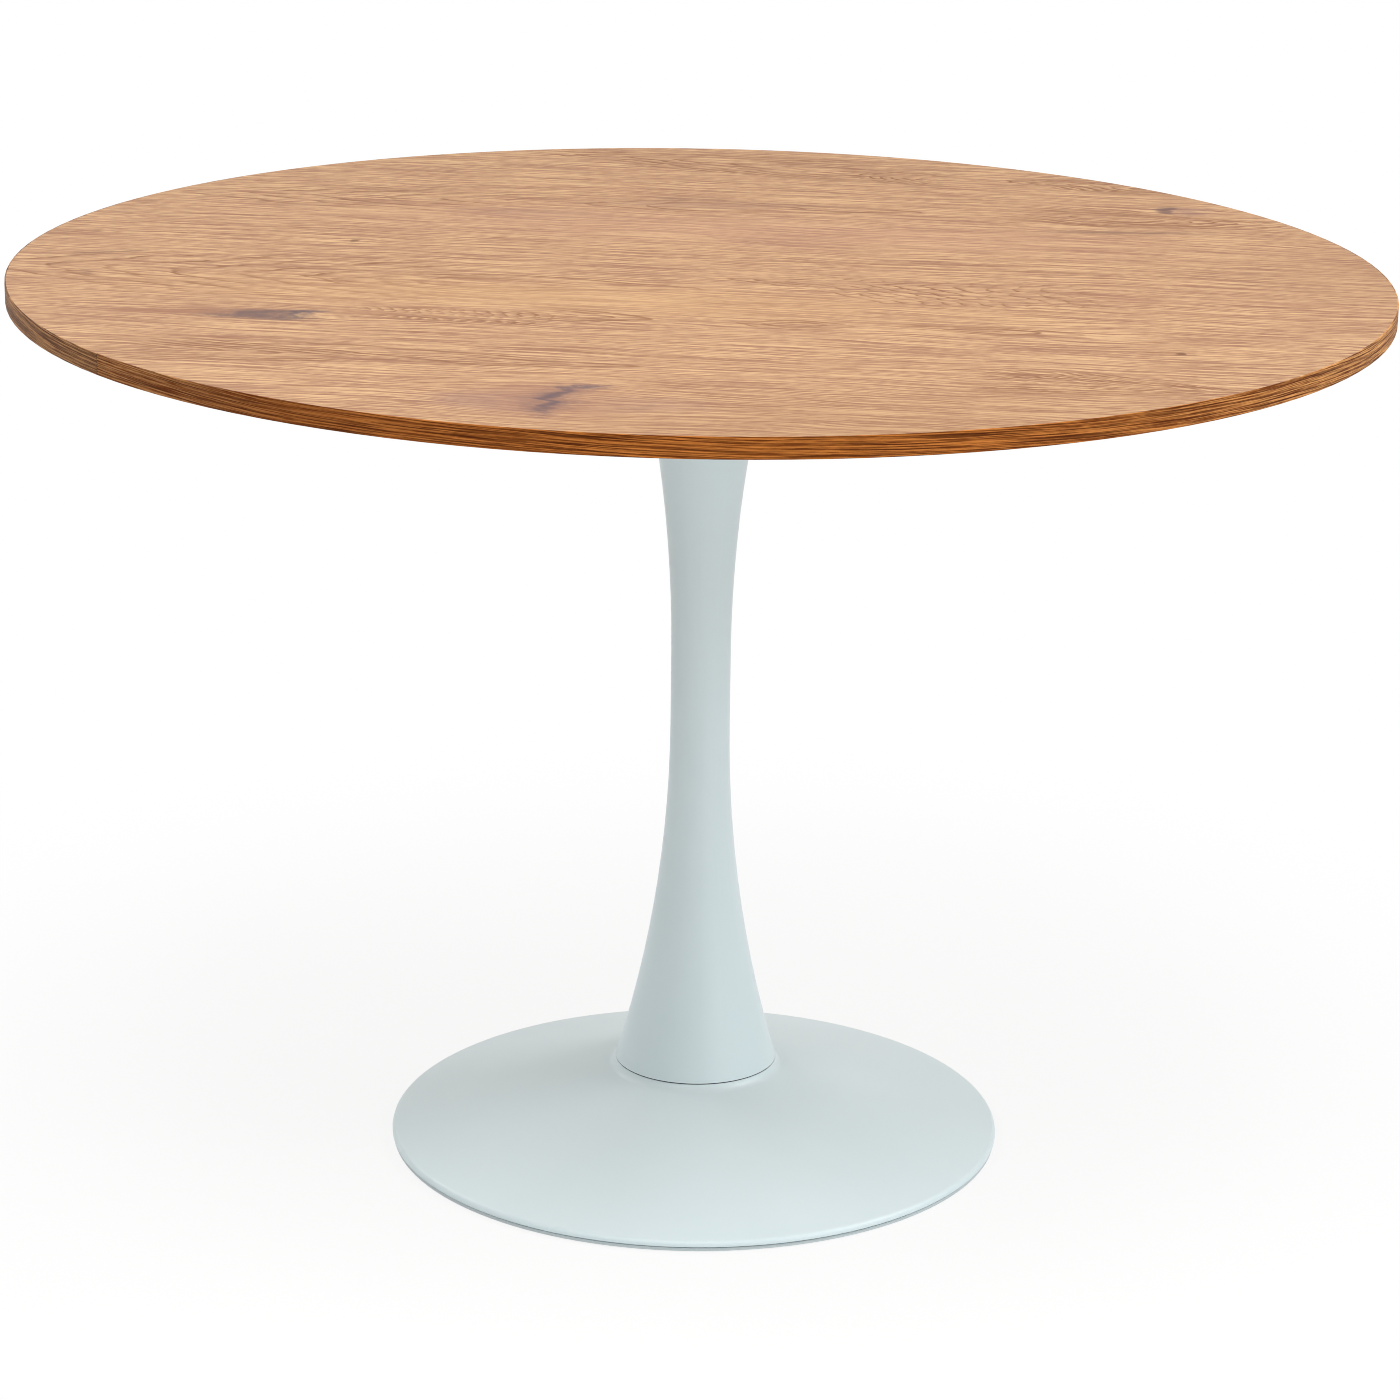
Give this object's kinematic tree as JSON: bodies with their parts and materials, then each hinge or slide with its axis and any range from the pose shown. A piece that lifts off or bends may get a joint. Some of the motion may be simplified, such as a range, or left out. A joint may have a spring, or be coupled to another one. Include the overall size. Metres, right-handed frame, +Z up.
{
  "type": "pedestal table",
  "caption": "Round dining table: thin veneered top with an edge band on a trumpet-shaped steel column, bolted to a shallow conical base with screw-in levelling feet.",
  "frame": {"origin": "on the floor under the centre of the column, with the levelling feet screwed right in", "axes": "+Z up along the column; -Y towards the viewer; the grain of the top runs along X"},
  "size_m": [1.0999, 1.0999, 0.74],
  "materials": {
    "oak_face": "matt lacquered oak veneer",
    "oak_edge": "satin lacquered oak edge band",
    "oak_backing": "raw backing veneer",
    "board": "raw fibreboard",
    "painted_steel": "satin pale blue-grey paint",
    "plain_steel": "oiled steel",
    "zinc": "zinc-plated steel",
    "cast_iron": "black dip-painted casting",
    "gasket_rubber": "matt rubber",
    "ring_plastic": "pale blue-grey plastic",
    "pad_plastic": "black nylon"
  },
  "bodies": {
    "table": {"top_core": "board", "top_veneer": "oak_face", "underside_veneer": "oak_backing", "edge_band": "oak_edge", "insert_nuts": "zinc", "top_mounting_plate": "painted_steel", "top_screws": "zinc", "top_washers": "zinc", "head_bolts": "zinc", "column_shell": "painted_steel", "column_head_plate": "plain_steel", "column_foot_plate": "plain_steel", "column_gasket": "gasket_rubber", "base_cover": "painted_steel", "base_casting": "cast_iron", "base_edge_ring": "ring_plastic", "base_bolts": "zinc", "base_washers": "zinc", "base_spring_washers": "plain_steel"},
    "foot_1_pad": {"glide_pad_1": "pad_plastic"},
    "foot_1_stud": {"glide_stud_1": "zinc"},
    "foot_2_pad": {"glide_pad_2": "pad_plastic"},
    "foot_2_stud": {"glide_stud_2": "zinc"},
    "foot_3_pad": {"glide_pad_3": "pad_plastic"},
    "foot_3_stud": {"glide_stud_3": "zinc"},
    "foot_4_pad": {"glide_pad_4": "pad_plastic"},
    "foot_4_stud": {"glide_stud_4": "zinc"}
  },
  "joints": [
    {"name": "foot_1_travel", "type": "slide", "parent": "table", "child": "foot_1_pad", "axis": [0, 0, -1], "range_m": [0, 0.006]},
    {"name": "foot_1_turn", "type": "hinge", "parent": "foot_1_pad", "child": "foot_1_stud", "pos_m": [0.13435, 0.13435, 0.01], "axis": [0, 0, -1], "range_deg": [0, 1729]},
    {"name": "foot_2_travel", "type": "slide", "parent": "table", "child": "foot_2_pad", "axis": [0, 0, -1], "range_m": [0, 0.006]},
    {"name": "foot_2_turn", "type": "hinge", "parent": "foot_2_pad", "child": "foot_2_stud", "pos_m": [-0.13435, 0.13435, 0.01], "axis": [0, 0, -1], "range_deg": [0, 1729]},
    {"name": "foot_3_travel", "type": "slide", "parent": "table", "child": "foot_3_pad", "axis": [0, 0, -1], "range_m": [0, 0.006]},
    {"name": "foot_3_turn", "type": "hinge", "parent": "foot_3_pad", "child": "foot_3_stud", "pos_m": [-0.13435, -0.13435, 0.01], "axis": [0, 0, -1], "range_deg": [0, 1729]},
    {"name": "foot_4_travel", "type": "slide", "parent": "table", "child": "foot_4_pad", "axis": [0, 0, -1], "range_m": [0, 0.006]},
    {"name": "foot_4_turn", "type": "hinge", "parent": "foot_4_pad", "child": "foot_4_stud", "pos_m": [0.13435, -0.13435, 0.01], "axis": [0, 0, -1], "range_deg": [0, 1729]}
  ],
  "couplings": [
    {"joint": "foot_1_turn", "follows": "foot_1_travel", "rad_per_m": 5026.5},
    {"joint": "foot_2_turn", "follows": "foot_2_travel", "rad_per_m": 5026.5},
    {"joint": "foot_3_turn", "follows": "foot_3_travel", "rad_per_m": 5026.5},
    {"joint": "foot_4_turn", "follows": "foot_4_travel", "rad_per_m": 5026.5}
  ]
}
